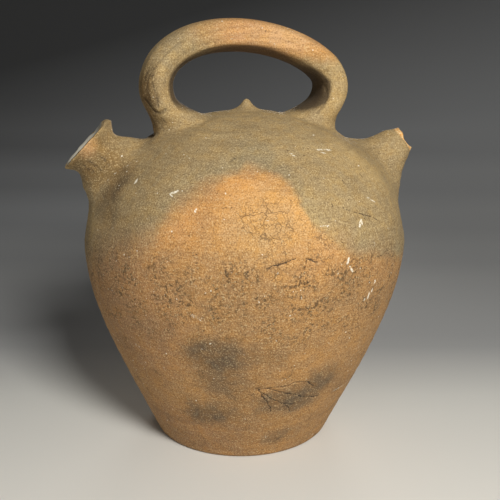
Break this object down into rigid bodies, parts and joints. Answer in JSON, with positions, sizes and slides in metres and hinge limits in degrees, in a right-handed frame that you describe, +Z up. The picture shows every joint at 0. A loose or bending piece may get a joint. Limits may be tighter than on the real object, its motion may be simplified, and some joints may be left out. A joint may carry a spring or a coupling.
{
  "type": "water jug",
  "caption": "Terracotta water jug: ovoid body, closed dome, loop handle over the top, short filling mouth and the stub of a broken pouring spout.",
  "frame": {"origin": "centre of the flat underside, on the floor the jug stands on", "axes": "+Z up along the height; +X towards the pouring spout, -X towards the filling mouth; the handle arches over in the XZ plane"},
  "size_m": [0.2752, 0.25, 0.3192],
  "materials": {
    "terracotta": "matt unglazed fired clay, smoke-stained and worn"
  },
  "bodies": {
    "root": {"jug_lower": "terracotta", "jug_upper": "terracotta"}
  },
  "joints": []
}
